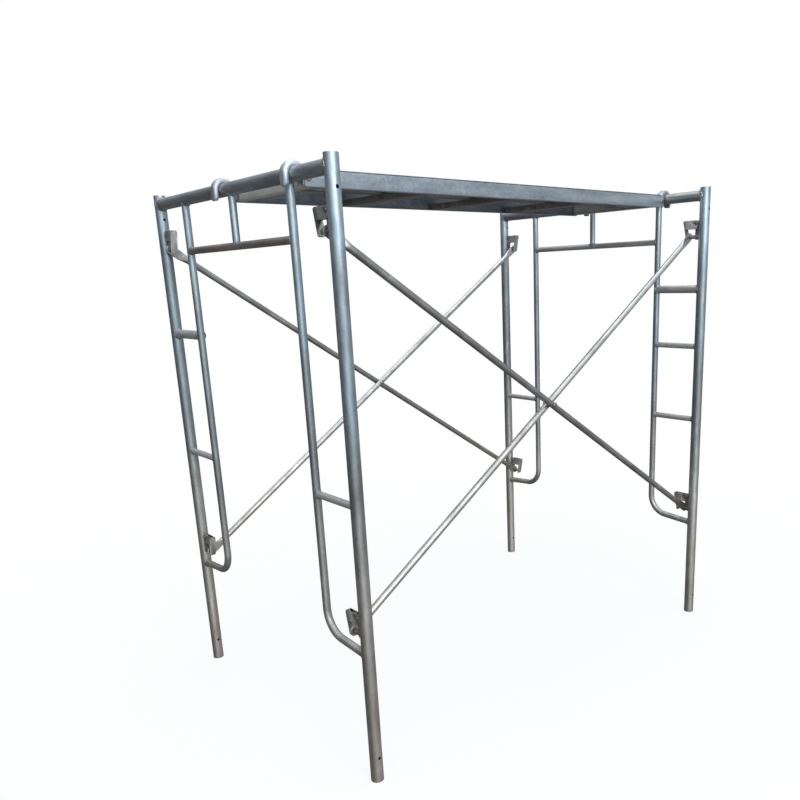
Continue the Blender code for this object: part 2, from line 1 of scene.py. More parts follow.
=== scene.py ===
"""Visual model of a frame scaffold bay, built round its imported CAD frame.

Metres, +Z up. The origin is on the ground at the bay's centre. Frame A stands at -X and frame B at
+X, turned half a turn. Left is +Y and right is -Y for a person who looks along +X.
"""

import math

import bmesh
import bpy
from mathutils import Matrix, Vector, noise

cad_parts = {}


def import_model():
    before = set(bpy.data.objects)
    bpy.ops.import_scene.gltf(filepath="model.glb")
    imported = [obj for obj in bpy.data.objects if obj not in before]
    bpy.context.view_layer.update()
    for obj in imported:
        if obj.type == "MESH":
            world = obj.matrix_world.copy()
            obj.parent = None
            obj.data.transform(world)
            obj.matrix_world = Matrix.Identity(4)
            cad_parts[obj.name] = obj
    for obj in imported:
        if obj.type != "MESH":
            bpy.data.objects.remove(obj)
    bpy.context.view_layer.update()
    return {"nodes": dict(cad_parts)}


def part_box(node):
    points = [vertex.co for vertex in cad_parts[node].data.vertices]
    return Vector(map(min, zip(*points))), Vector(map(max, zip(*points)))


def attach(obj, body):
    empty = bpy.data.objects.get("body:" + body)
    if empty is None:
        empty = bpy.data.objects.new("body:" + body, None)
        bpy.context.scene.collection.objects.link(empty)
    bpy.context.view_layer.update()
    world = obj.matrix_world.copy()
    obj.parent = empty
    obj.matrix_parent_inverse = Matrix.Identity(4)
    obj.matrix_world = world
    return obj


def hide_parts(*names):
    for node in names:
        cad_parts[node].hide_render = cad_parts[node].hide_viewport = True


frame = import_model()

X_AXIS, Y_AXIS, Z_AXIS = Vector((1, 0, 0)), Vector((0, 1, 0)), Vector((0, 0, 1))
LETTERS = ("a", "b")
SIDES = ("left", "right")
LEVELS = ("lower", "upper")

# Tube radii and walls
LEG_R, LEG_WALL = 0.02135, 0.0025
POST_R, POST_WALL = 0.01345, 0.0020
BAR_R, BAR_WALL = 0.0125, 0.0020
TOP_RUNG_R, TOP_RUNG_WALL = 0.01685, 0.0022
RUNG_R, RUNG_WALL = 0.0120, 0.0020
BRACE_R, BRACE_WALL = 0.0120, 0.0016
POST_BEND_RADIUS = 0.085
POST_FOOT_SLOPE = math.radians(4)
COUPLING_HOLE_FROM_END = 0.088
COUPLING_HOLE_R = 0.0055
COPE_GAP = 0.0004

# Brace studs, locks and braces; offsets run inwards from a leg's centre line
OUTER_BRACE_OFFSET = 0.0435
STUD_R = 0.008
STUD_TIP_OFFSET = 0.0745
PIVOT_OFFSET = 0.0355
PIVOT_ABOVE_STUD = 0.056
PIVOT_PIN_R = 0.004
LUG_THICKNESS = 0.010
LUG_BACK_OFFSET = 0.0217
LOCK_SHEET = 0.003
LOCK_CHEEK_GAP = 0.011
LOCK_WEB_WIDTH = 0.026
BRACE_HOLE_R = 0.0088
FLAT_HALF_WIDTH = 0.0175
FLAT_HALF_THICKNESS = 0.0024
SLIT_HALF_THICKNESS = 0.0005
FLAT_LENGTH = 0.034
TRANSITION_LENGTH = 0.045

# Plank
SHEET = 0.002
BEND_R = 0.0035
HOOK_WIDTH = 0.032
HOOK_DEPTH = 0.015
HOOK_TONGUE_DEPTH = 0.024
HOOK_WALL = 0.004
HOOK_CORNER = 0.009
HOOK_CROWN = 0.0015
HOOK_LIP = 0.034
HOOK_TONGUE = 0.028


def middle(node):
    low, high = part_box(node)
    return (low + high) / 2


LEG_X = abs(middle("a_leg_left").x)
LEG_Y = abs(middle("a_leg_left").y)
FRAME_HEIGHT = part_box("a_leg_left")[1].z
LEDGER_Z = middle("a_ledger").z
HEADER_Z = middle("a_header_bar").z
MIDDLE_RUNG_Z = middle("a_middle_rung_left").z
POST_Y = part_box("a_inner_post_left")[0].y + POST_R * math.cos(math.pi / 16)
LOOP_END_Z = 0.447


# Meshes


def mesh_from(name, bm, smooth=35):
    bmesh.ops.recalc_face_normals(bm, faces=bm.faces)
    mesh = bpy.data.meshes.new(name)
    bm.to_mesh(mesh)
    bm.free()
    mesh.shade_smooth()
    mesh.set_sharp_from_angle(angle=math.radians(smooth))
    return mesh


def baked(name, mesh, modifiers):
    """The mesh after modifiers, given as (type, {setting: value}), with meshes for Booleans."""
    body = bpy.data.objects.new(name, mesh)
    bpy.context.scene.collection.objects.link(body)
    helpers = [body]
    for kind, settings in modifiers:
        modifier = body.modifiers.new(kind, kind)
        for key, value in settings.items():
            if key == "object":
                value = bpy.data.objects.new(name + "_step", value)
                bpy.context.scene.collection.objects.link(value)
                helpers.append(value)
            setattr(modifier, key, value)
    bpy.context.view_layer.update()
    graph = bpy.context.evaluated_depsgraph_get()
    result = bpy.data.meshes.new_from_object(body.evaluated_get(graph))
    for obj in helpers:
        bpy.data.objects.remove(obj)
    result.name = name
    result.shade_smooth()
    result.set_sharp_from_angle(angle=math.radians(35))
    return result


def cut(mesh):
    return "BOOLEAN", {"operation": "DIFFERENCE", "solver": "EXACT", "object": mesh}


def join(mesh):
    return "BOOLEAN", {"operation": "UNION", "solver": "EXACT", "object": mesh}


def round_edges(width, segments=3):
    settings = {"width": width, "segments": segments, "limit_method": "ANGLE"}
    settings["angle_limit"] = math.radians(40)
    settings["harden_normals"] = False
    return "BEVEL", settings


def skin(bm, loops, closed):
    pairs = list(zip(loops, loops[1:]))
    if closed:
        pairs.append((loops[-1], loops[0]))
    for this, following in pairs:
        for i in range(len(this)):
            bm.faces.new((this[i - 1], this[i], following[i], following[i - 1]))


def looped(name, rings):
    """A closed skin through a cycle of rings of equal length."""
    bm = bmesh.new()
    skin(bm, [[bm.verts.new(point) for point in ring] for ring in rings], True)
    return mesh_from(name, bm)


def lathe(name, profile, axis, centre=Vector(), sides=32, ring=False):
    """Revolves (radius, along) pairs about an axis; ring closes the profile on itself."""
    turn = Z_AXIS.rotation_difference(axis).to_matrix()
    bm = bmesh.new()
    loops = []
    for radius, along in profile:
        points = []
        for k in range(sides):
            angle = (k + 0.5) * 2 * math.pi / sides
            point = Vector((radius * math.cos(angle), radius * math.sin(angle), along))
            points.append(bm.verts.new(centre + turn @ point))
        loops.append(points)
    skin(bm, loops, ring)
    if not ring:
        bm.faces.new(loops[0])
        bm.faces.new(loops[-1])
    return mesh_from(name, bm)


def prism(name, outline, along, start, end):
    place = {
        "X": lambda u, v, w: (w, u, v),
        "Y": lambda u, v, w: (u, w, v),
    }[along]
    bm = bmesh.new()
    near = [bm.verts.new(place(u, v, start)) for u, v in outline]
    far = [bm.verts.new(place(u, v, end)) for u, v in outline]
    bm.faces.new(near)
    bm.faces.new(far)
    skin(bm, [near, far], False)
    return mesh_from(name, bm)


def rounded(path, radius, steps=5):
    """The path with each corner turned into an arc."""
    points = [Vector(p) for p in path]
    out = [points[0]]
    for before, corner, after in zip(points, points[1:], points[2:]):
        back = (before - corner).normalized()
        ahead = (after - corner).normalized()
        half = back.angle(ahead) / 2
        centre = corner + (back + ahead).normalized() * radius / math.sin(half)
        first = (corner + back * radius / math.tan(half) - centre).normalized()
        last = (corner + ahead * radius / math.tan(half) - centre).normalized()
        out += [centre + radius * first.slerp(last, i / steps) for i in range(steps + 1)]
    out.append(points[-1])
    return out


def bent_sheet(path, thickness):
    """The outline of a sheet bent along path, with its thickness on the right of the path."""
    points = [Vector(p) for p in path]
    runs = [(b - a).normalized() for a, b in zip(points, points[1:])]
    normals = [Vector((run.y, -run.x)) for run in runs]
    outline = list(points)
    for i in reversed(range(len(points))):
        before = normals[max(i - 1, 0)]
        after = normals[min(i, len(normals) - 1)]
        outline.append(points[i] + (before + after) / (1 + before.dot(after)) * thickness)
    return [tuple(p) for p in outline]


def arc(centre, radius, start, end, steps):
    angles = [start + (end - start) * i / steps for i in range(steps + 1)]
    return [(centre[0] + radius * math.cos(a), centre[1] + radius * math.sin(a)) for a in angles]


# Tubes in a plane square to X, and the welds at their ends. A host is (point on axis, axis, radius).


def reach(point, direction, host):
    """How far point travels along direction to the skin of a host tube."""
    on_axis, axis, radius = host
    offset = point - on_axis
    offset -= axis * offset.dot(axis)
    heading = direction - axis * direction.dot(axis)
    a = heading.length_squared
    b = offset.dot(heading)
    c = offset.length_squared - radius**2
    return (-b - math.sqrt(max(b * b - a * c, 0))) / a


def tube(name, stations, radius, wall, sides, start_on=None, end_on=None):
    skins = []
    for r in (radius, radius - wall):
        rings = []
        for index, (centre, direction) in enumerate(stations):
            up = direction.cross(X_AXIS)
            points = []
            for k in range(sides):
                angle = (k + 0.5) * 2 * math.pi / sides
                point = centre + r * (math.cos(angle) * X_AXIS + math.sin(angle) * up)
                if index == 0 and start_on:
                    point -= direction * reach(point, -direction, start_on)
                if index == len(stations) - 1 and end_on:
                    point += direction * reach(point, direction, end_on)
                points.append(point)
            rings.append(points)
        skins.append(rings)
    outer, inner = skins
    return looped(name, outer + inner[::-1])


def straight(start, end):
    direction = (end - start).normalized()
    return [(start, direction), (end, direction)]


def leg_host(side):
    return Vector((0, side * LEG_Y, 0)), Z_AXIS, LEG_R + COPE_GAP


def post_host(side):
    return Vector((0, side * POST_Y, 0)), Z_AXIS, POST_R + COPE_GAP


def across_host(height, radius):
    return Vector((0, 0, height)), Y_AXIS, radius + COPE_GAP


BEAD_SECTION = 8
RIPPLE_LENGTH = 0.0042
SAMPLES_PER_RIPPLE = 6


def bead_along(bm, path, size):
    """A closed weld bead; path holds (point, outward direction between the two skins)."""
    count = len(path)
    length = sum((path[i][0] - path[i - 1][0]).length for i in range(count))
    ripples = max(6, round(length / RIPPLE_LENGTH))
    loops = []
    for i, (point, outward) in enumerate(path):
        tangent = (path[(i + 1) % count][0] - path[i - 1][0]).normalized()
        across = tangent.cross(outward).normalized()
        wave = abs(math.sin(math.pi * ripples * i / count))
        lump = noise.noise(point * 90)
        r = size * (0.80 + 0.24 * wave + 0.22 * lump)
        middle_of_bead = point + outward * size * (0.12 + 0.2 * lump)
        ring = []
        for k in range(BEAD_SECTION):
            angle = 2 * math.pi * k / BEAD_SECTION
            offset = outward * math.cos(angle) * r * 0.75 + across * math.sin(angle) * r * 1.15
            ring.append(bm.verts.new(middle_of_bead + offset))
        loops.append(ring)
    skin(bm, loops, True)


def end_bead(bm, place, centre, direction, radius, host, size):
    """The bead round a tube that runs along direction into its host."""
    side = X_AXIS if abs(direction.dot(X_AXIS)) < 0.5 else Z_AXIS
    up = direction.cross(side).normalized()
    side = up.cross(direction)
    on_axis, axis, _ = host
    samples = round(2 * math.pi * radius / RIPPLE_LENGTH) * SAMPLES_PER_RIPPLE
    path = []
    for i in range(samples):
        angle = 2 * math.pi * i / samples
        radial = math.cos(angle) * side + math.sin(angle) * up
        point = centre + radius * radial
        point = point + direction * reach(point, direction, host)
        normal = point - on_axis
        normal -= axis * normal.dot(axis)
        outward = (radial + normal.normalized()).normalized()
        path.append((place @ point, place.to_3x3() @ outward))
    bead_along(bm, path, size)


# Materials


class Graph:
    """A short way to write a node tree: each call adds a node and returns an output."""

    def __init__(self, material):
        self.tree = material.node_tree

    def node(self, kind, inputs=None, **settings):
        made = self.tree.nodes.new(kind)
        for key, value in settings.items():
            setattr(made, key, value)
        for key, value in (inputs or {}).items():
            if isinstance(value, bpy.types.NodeSocket):
                self.tree.links.new(value, made.inputs[key])
            else:
                made.inputs[key].default_value = value
        return made

    def coordinates(self, scale=(1, 1, 1)):
        source = self.node("ShaderNodeTexCoord").outputs["Object"]
        return self.node("ShaderNodeMapping", {"Vector": source, "Scale": scale}).outputs[0]

    def noise(self, scale, detail=4, roughness=0.55, stretch=(1, 1, 1)):
        inputs = {"Vector": self.coordinates(stretch), "Scale": scale, "Detail": detail}
        inputs["Roughness"] = roughness
        return self.node("ShaderNodeTexNoise", inputs).outputs["Fac"]

    def crystals(self, scale):
        inputs = {"Vector": self.coordinates(), "Scale": scale}
        colour = self.node("ShaderNodeTexVoronoi", inputs).outputs["Color"]
        return self.node("ShaderNodeSeparateColor", {"Color": colour}).outputs["Red"]

    def ramp(self, value, low, high, to_low=0.0, to_high=1.0):
        inputs = {"Value": value, "From Min": low, "From Max": high}
        inputs.update({"To Min": to_low, "To Max": to_high})
        return self.node("ShaderNodeMapRange", inputs).outputs[0]

    def math(self, operation, a, b):
        made = self.node("ShaderNodeMath", operation=operation)
        for socket, value in zip(made.inputs, (a, b)):
            if isinstance(value, bpy.types.NodeSocket):
                self.tree.links.new(value, socket)
            else:
                socket.default_value = value
        return made.outputs[0]

    def mix(self, share, a, b, blend="MIX"):
        made = self.node("ShaderNodeMix", data_type="RGBA", blend_type=blend)
        for socket, value in ((made.inputs[0], share), (made.inputs[6], a), (made.inputs[7], b)):
            if isinstance(value, bpy.types.NodeSocket):
                self.tree.links.new(value, socket)
            elif isinstance(value, tuple):
                socket.default_value = (*value, 1)
            else:
                socket.default_value = value
        return made.outputs[2]

    def stops(self, value, stops):
        """A colour that runs through (position, colour) stops."""
        made = self.node("ShaderNodeValToRGB", {"Fac": value})
        ramp = made.color_ramp
        while len(ramp.elements) < len(stops):
            ramp.elements.new(0.5)
        while len(ramp.elements) > len(stops):
            ramp.elements.remove(ramp.elements[-1])
        for element, (position, colour) in zip(ramp.elements, stops):
            element.position = position
            element.color = (*colour, 1)
        return made.outputs["Color"]

    def grey(self, value):
        return self.node("ShaderNodeCombineColor", {"Red": value, "Green": value, "Blue": value}).outputs[0]

    def height(self):
        source = self.node("ShaderNodeTexCoord").outputs["Object"]
        return self.node("ShaderNodeSeparateXYZ", {"Vector": source}).outputs["Z"]


LOW_TONE, HIGH_TONE = 0.1, 1.8  # heights of a material's first and last tone


def galvanised(name, tones, stain=(0.24, 0.20, 0.17), stain_share=0.35, roughness=0.38,
               contrast=0.16, spangle=0.03, stretch=(1, 1, 0.25), lumps=0.08, metallic=0.9):
    """Zinc-coated steel. tones are its colours from the ground up, evenly spaced in height."""
    material = bpy.data.materials.new(name)
    material.use_nodes = True
    g = Graph(material)
    shader = g.tree.nodes["Principled BSDF"]
    share = g.ramp(g.height(), LOW_TONE, HIGH_TONE)
    wander = g.math("ADD", share, g.ramp(g.noise(3.0, 2), 0.3, 0.7, -0.12, 0.12))
    colour = g.stops(wander, [(k / max(len(tones) - 1, 1), tone) for k, tone in enumerate(tones)])
    cloud = g.ramp(g.noise(11, 3, 0.6, stretch), 0.3, 0.7, 1 - contrast, 1 + contrast)
    blotch = g.ramp(g.noise(38, 3, 0.6, stretch), 0.35, 0.65, 0.86, 1.10)
    crystal = g.crystals(120)
    facets = g.ramp(crystal, 0, 1, 1 - spangle, 1 + spangle)
    tone = g.math("MULTIPLY", g.math("MULTIPLY", cloud, blotch), facets)
    colour = g.mix(1.0, colour, g.grey(tone), "MULTIPLY")
    patches = g.ramp(g.noise(7, 5, 0.7, stretch), 0.52, 0.68, 0.0, stain_share)
    colour = g.mix(patches, colour, stain)
    scuffs = g.ramp(g.noise(22, 4, 0.65, stretch), 0.60, 0.70, 0.0, 0.4)
    colour = g.mix(scuffs, colour, (0.78, 0.78, 0.76))
    # Painted shade: ambient occlusion darkens the colour towards (0.10, 0.085, 0.075) and raises the roughness where
    # nearby surfaces close in, in crevices, corners and gaps between parts.
    occlusion = g.node("ShaderNodeAmbientOcclusion", {"Distance": 0.018}, samples=4)
    painted_crevice_shade = g.ramp(occlusion.outputs["AO"], 0.25, 0.85, 0.6, 0.0)
    colour = g.mix(painted_crevice_shade, colour, (0.10, 0.085, 0.075))
    rough = g.math("ADD", g.ramp(g.noise(26, 2, 0.6), 0.3, 0.7, -0.06, 0.08), roughness)
    rough = g.math("ADD", rough, g.ramp(crystal, 0, 1, -0.5 * spangle, 0.5 * spangle))
    rough = g.math("ADD", rough, g.math("MULTIPLY", painted_crevice_shade, 0.3))
    rough = g.math("ADD", rough, g.math("MULTIPLY", patches, 0.3))
    lumpy = g.node("ShaderNodeBump", {"Height": g.noise(40, 3), "Strength": lumps, "Distance": 0.001})
    grain = g.node("ShaderNodeBump", {"Height": g.noise(500, 2), "Strength": 0.02, "Distance": 0.0002,
                                      "Normal": lumpy.outputs[0]})
    g.tree.links.new(colour, shader.inputs["Base Color"])
    g.tree.links.new(rough, shader.inputs["Roughness"])
    g.tree.links.new(grain.outputs[0], shader.inputs["Normal"])
    shader.inputs["Metallic"].default_value = metallic
    return material


ACROSS = (1, 0.25, 1)
ALONG_BRACE = (0.5, 1, 0.5)
ALONG_PLANK = (0.15, 1, 1)
tube_bright = galvanised(
    "tube_bright",
    [(0.58, 0.53, 0.475), (0.52, 0.51, 0.485), (0.31, 0.325, 0.33), (0.33, 0.405, 0.45), (0.52, 0.64, 0.72)],
    contrast=0.2,
)
tube_ledger = galvanised("tube_ledger", [(0.40, 0.425, 0.44)], stretch=ACROSS)
# Rung steel, also on frame B's header bar: its pale tone is partly wear and partly painted light, the extra light the
# rungs catch from the left.
tube_worn = galvanised("tube_worn", [(0.60, 0.54, 0.48), (0.61, 0.60, 0.585), (0.62, 0.62, 0.62)], stretch=ACROSS,
                       roughness=0.42, metallic=0.7)
tube_brown = galvanised("tube_brown", [(0.44, 0.385, 0.34)], stretch=ACROSS, contrast=0.25, stain_share=0.5)
# Lit and shaded copies of one brace steel: the paler tones paint the sky's sheen on the rising braces, the darker tones
# paint shade on the falling braces.
brace_pale = galvanised("brace_pale", [(0.60, 0.565, 0.505), (0.58, 0.57, 0.545), (0.57, 0.59, 0.59)],
                        stretch=ALONG_BRACE, lumps=0.03)
brace_dark = galvanised("brace_dark", [(0.48, 0.41, 0.345), (0.35, 0.35, 0.345), (0.42, 0.42, 0.415)],
                        stretch=ALONG_BRACE, lumps=0.03)
hardware = galvanised("hardware", [(0.34, 0.315, 0.29), (0.32, 0.32, 0.31)], contrast=0.25, stain_share=0.5)
sheet_bright = galvanised("sheet_bright", [(0.44, 0.51, 0.575)], contrast=0.1, spangle=0.07,
                          stretch=ALONG_PLANK, stain_share=0.15, lumps=0.04)
# Ribs and stiffener under the deck: a duller sheet whose dark tone paints the shade under the plank.
sheet_dull = galvanised("sheet_dull", [(0.32, 0.30, 0.28)], stretch=(0.3, 1, 1), roughness=0.5, lumps=0.06)
# End channels: a pale, mostly diffuse zinc whose light tone partly paints light falling on the plank's ends and partly
# stands for dull oxidised zinc.
sheet_pale_painted_lit = galvanised("sheet_pale_painted_lit", [(0.80, 0.78, 0.72)], stretch=ACROSS, roughness=0.55, metallic=0.25)
hook_metal = galvanised("hook_metal", [(0.53, 0.585, 0.64)], stretch=(1, 1, 1), roughness=0.45)
weld = galvanised("weld_metal", [(0.33, 0.31, 0.30), (0.38, 0.41, 0.44)], contrast=0.25, stretch=(1, 1, 1),
                  roughness=0.42, lumps=0.4, stain_share=0.4)


# Placing pieces


def add(name, mesh, material, body, matrix=Matrix.Identity(4), nodes=()):
    """A piece in the row frame: matrix is baked into the mesh, so that textures never repeat."""
    mesh = mesh.copy()
    mesh.transform(matrix)
    if matrix.determinant() < 0:
        mesh.flip_normals()
    mesh.name = name
    mesh.materials.clear()
    mesh.materials.append(material)
    obj = bpy.data.objects.new(name, mesh)
    bpy.context.scene.collection.objects.link(obj)
    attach(obj, body)
    if nodes:
        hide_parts(*nodes)
    return obj


def frame_matrix(letter):
    if letter == "a":
        return Matrix.Translation((-LEG_X, 0, 0))
    return Matrix.Translation((LEG_X, 0, 0)) @ Matrix.Rotation(math.pi, 4, "Z")


def local_side(letter, side_name):
    """+1 or -1: the side of the frame, in its own axes, that holds the world's left or right."""
    return (1 if side_name == "left" else -1) * (1 if letter == "a" else -1)


HALF_TURN = Matrix.Rotation(math.pi, 4, "Z")


# Frames


def leg_mesh():
    chamfer = 0.0007
    outer, inner = LEG_R, LEG_R - LEG_WALL
    profile = [(outer - chamfer, 0), (outer, chamfer), (outer, FRAME_HEIGHT - chamfer)]
    profile += [(outer - chamfer, FRAME_HEIGHT), (inner + chamfer, FRAME_HEIGHT)]
    profile += [(inner, FRAME_HEIGHT - chamfer), (inner, chamfer), (inner + chamfer, 0)]
    wall = lathe("leg_tube", profile, Z_AXIS, sides=64, ring=True)
    cuts = []
    for height in (COUPLING_HOLE_FROM_END, FRAME_HEIGHT - COUPLING_HOLE_FROM_END):
        drill = [(COUPLING_HOLE_R, -0.04), (COUPLING_HOLE_R, 0.04)]
        cuts.append(cut(lathe("hole", drill, Y_AXIS, Vector((0, 0, height)), 28)))
    return baked("leg", wall, cuts)


def ledger_mesh():
    centre = Vector((0, 0, LEDGER_Z))
    path = straight(centre - Y_AXIS * POST_Y, centre + Y_AXIS * POST_Y)
    return tube("ledger", path, LEG_R, LEG_WALL, 64, leg_host(-1), leg_host(1))


def post_foot():
    """The inner post's bend above its foot: the angle it sweeps and the centre it turns about."""
    sweep = math.pi / 2 - POST_FOOT_SLOPE
    bend_end_y = POST_Y + POST_BEND_RADIUS * (1 - math.cos(sweep))
    bend_end_z = LOOP_END_Z + (LEG_Y - LEG_R - bend_end_y) * math.tan(POST_FOOT_SLOPE)
    centre = Vector((0, POST_Y + POST_BEND_RADIUS, bend_end_z + POST_BEND_RADIUS * math.sin(sweep)))
    return sweep, centre


def post_stations():
    sweep, centre = post_foot()
    stations = [(Vector((0, POST_Y, HEADER_Z)), -Z_AXIS)]
    steps = 22
    for step in range(steps + 1):
        angle = sweep * step / steps
        arm = Vector((0, -math.cos(angle), -math.sin(angle)))
        stations.append((centre + POST_BEND_RADIUS * arm, Vector((0, math.sin(angle), -math.cos(angle)))))
    foot = stations[-1][1]
    stations.append((stations[-1][0] + foot * POST_BEND_RADIUS / 2, foot))
    return stations


def bar_mesh():
    centre = Vector((0, 0, HEADER_Z))
    path = straight(centre - Y_AXIS * POST_Y / 2, centre + Y_AXIS * POST_Y / 2)
    return tube("header_bar", path, BAR_R, BAR_WALL, 40, post_host(-1), post_host(1))


def strut_mesh():
    low, high = Vector((0, 0, HEADER_Z + 0.03)), Vector((0, 0, LEDGER_Z - 0.04))
    hosts = across_host(HEADER_Z, BAR_R), across_host(LEDGER_Z, LEG_R)
    return tube("header_strut", straight(low, high), BAR_R, BAR_WALL, 40, *hosts)


def rung_path(height):
    centre = Vector((0, (POST_Y + LEG_Y) / 2, height))
    return straight(centre - Y_AXIS * 0.02, centre + Y_AXIS * 0.02)


def rung_mesh(height, radius, wall):
    return tube("rung", rung_path(height), radius, wall, 40, post_host(1), leg_host(1))


def frame_beads(letter, rungs):
    bm = bmesh.new()
    base = frame_matrix(letter)
    big, medium, small = 0.0046, 0.0038, 0.0032
    ledger = across_host(LEDGER_Z, LEG_R)
    for side in (-1, 1):
        place = base if side > 0 else base @ HALF_TURN
        end_bead(bm, place, Vector((0, 0.5, LEDGER_Z)), Y_AXIS, LEG_R, leg_host(1), big)
        end_bead(bm, place, Vector((0, POST_Y, HEADER_Z)), Z_AXIS, POST_R, ledger, medium)
        end_bead(bm, place, Vector((0, 0, HEADER_Z)), Y_AXIS, BAR_R, post_host(1), small)
        end_bead(bm, place, post_stations()[-1][0], post_stations()[-1][1], POST_R, leg_host(1), medium)
    end_bead(bm, base, Vector((0, 0, HEADER_Z + 0.05)), Z_AXIS, BAR_R, ledger, small)
    bar = across_host(HEADER_Z, BAR_R)
    end_bead(bm, base, Vector((0, 0, HEADER_Z + 0.05)), -Z_AXIS, BAR_R, bar, small)
    for side, height, radius in rungs:
        place = base if side > 0 else base @ HALF_TURN
        centre = rung_path(height)[0][0]
        end_bead(bm, place, centre, -Y_AXIS, radius, post_host(1), small)
        end_bead(bm, place, centre, Y_AXIS, radius, leg_host(1), small)
    return mesh_from("beads", bm)


def build_frame(letter, shared):
    base = frame_matrix(letter)
    prefix = letter + "_"
    add("ledger_" + letter, shared["ledger"], tube_ledger, "frame", base, [prefix + "ledger"])
    bar = [prefix + "header_bar"]
    # Frame B's header bar takes the rung steel, whose pale tone is partly painted light.
    bar_material = tube_brown if letter == "a" else tube_worn
    add("header_bar_" + letter, shared["bar"], bar_material, "frame", base, bar)
    strut = [prefix + "header_strut"]
    add("header_strut_" + letter, shared["strut"], tube_bright, "frame", base, strut)
    rungs = []
    for side_name in SIDES:
        side = local_side(letter, side_name)
        turned = base if side > 0 else base @ HALF_TURN
        leg_place = base @ Matrix.Translation((0, side * LEG_Y, 0))
        tail = f"{letter}_{side_name}"
        add("leg_" + tail, shared["leg"], tube_bright, "frame", leg_place, [f"{prefix}leg_{side_name}"])
        post = [f"{prefix}inner_post_{side_name}"]
        add("inner_post_" + tail, shared["post"], tube_bright, "frame", turned, post)
        for kind, radius, wall in (
            ("top_rung", TOP_RUNG_R, TOP_RUNG_WALL),
            ("upper_rung", RUNG_R, RUNG_WALL),
            ("middle_rung", RUNG_R, RUNG_WALL),
        ):
            node = f"{prefix}{kind}_{side_name}"
            if node not in frame["nodes"]:
                continue
            height = middle(node).z
            rungs.append((side, height, radius))
            mesh = rung_mesh(height, radius, wall)
            add(f"{kind}_{tail}", mesh, tube_worn, "frame", turned, [node])
    add("weld_beads_" + letter, frame_beads(letter, rungs), weld, "frame")


# Brace studs and locks: local origin on the lock's pivot, +Y pointing away from the leg


def stud_mesh():
    back = LUG_BACK_OFFSET - PIVOT_OFFSET
    front = OUTER_BRACE_OFFSET - FLAT_HALF_THICKNESS - 0.0015 - PIVOT_OFFSET
    eye = PIVOT_PIN_R + 0.005
    low = -PIVOT_ABOVE_STUD - STUD_R - 0.004
    outline = [(back, low), (front, low), (front, -eye - 0.006)]
    outline += arc((0, 0), eye, -math.pi / 6, math.pi, 20)
    outline += [(back, 0)]
    lug = prism("lug", outline, "X", -LUG_THICKNESS / 2, LUG_THICKNESS / 2)
    tip = STUD_TIP_OFFSET - PIVOT_OFFSET
    profile = [(STUD_R, back), (STUD_R, tip - 0.003), (STUD_R - 0.001, tip - 0.001), (STUD_R - 0.0025, tip)]
    stud = lathe("stud", profile, Y_AXIS, Vector((0, 0, -PIVOT_ABOVE_STUD)), 40)
    hole_r = PIVOT_PIN_R + 0.0005
    hole = lathe("hole", [(hole_r, -0.02), (hole_r, 0.02)], X_AXIS)
    return baked("brace_stud", lug, [cut(hole), round_edges(0.0007), join(stud)])


def stud_bead_mesh():
    """A bead round the lug's foot on the leg."""
    bm = bmesh.new()
    half, low = LUG_THICKNESS / 2 + 0.0005, -PIVOT_ABOVE_STUD - STUD_R - 0.004
    corners = [(-half, low), (half, low), (half, 0), (-half, 0)]
    path = []
    for (u0, v0), (u1, v1) in zip(corners, corners[1:] + corners[:1]):
        steps = round(math.hypot(u1 - u0, v1 - v0) / RIPPLE_LENGTH * SAMPLES_PER_RIPPLE)
        for i in range(steps):
            u = u0 + (u1 - u0) * i / steps
            v = v0 + (v1 - v0) * i / steps
            depth = math.sqrt(LEG_R**2 - u * u) - PIVOT_OFFSET
            away = Vector((u / half, 0, 2 * (v - low / 2) / -low))
            outward = (away.normalized() + Y_AXIS).normalized()
            path.append((Vector((u, depth, v)), outward))
    bead_along(bm, path, 0.003)
    return mesh_from("stud_bead", bm)


def web_mesh(foot, head):
    """A round-cornered plate from foot to head, whose thickness grows away from the leg."""
    up = (head - foot).normalized()
    away = up.cross(X_AXIS)
    half, length, corner = LOCK_WEB_WIDTH / 2, (head - foot).length, 0.007
    outline = []
    for quarter, centre in enumerate(
        ((half - corner, length - corner), (corner - half, length - corner), (corner - half, corner), (half - corner, corner))
    ):
        start = quarter * math.pi / 2
        outline += arc(centre, corner, start, start + math.pi / 2, 6)
    bm = bmesh.new()
    near = [bm.verts.new(foot + X_AXIS * u + up * v) for u, v in outline]
    far = [bm.verts.new(foot + X_AXIS * u + up * v + away * LOCK_SHEET) for u, v in outline]
    bm.faces.new(near)
    bm.faces.new(far)
    skin(bm, [near, far], False)
    return mesh_from("web", bm)


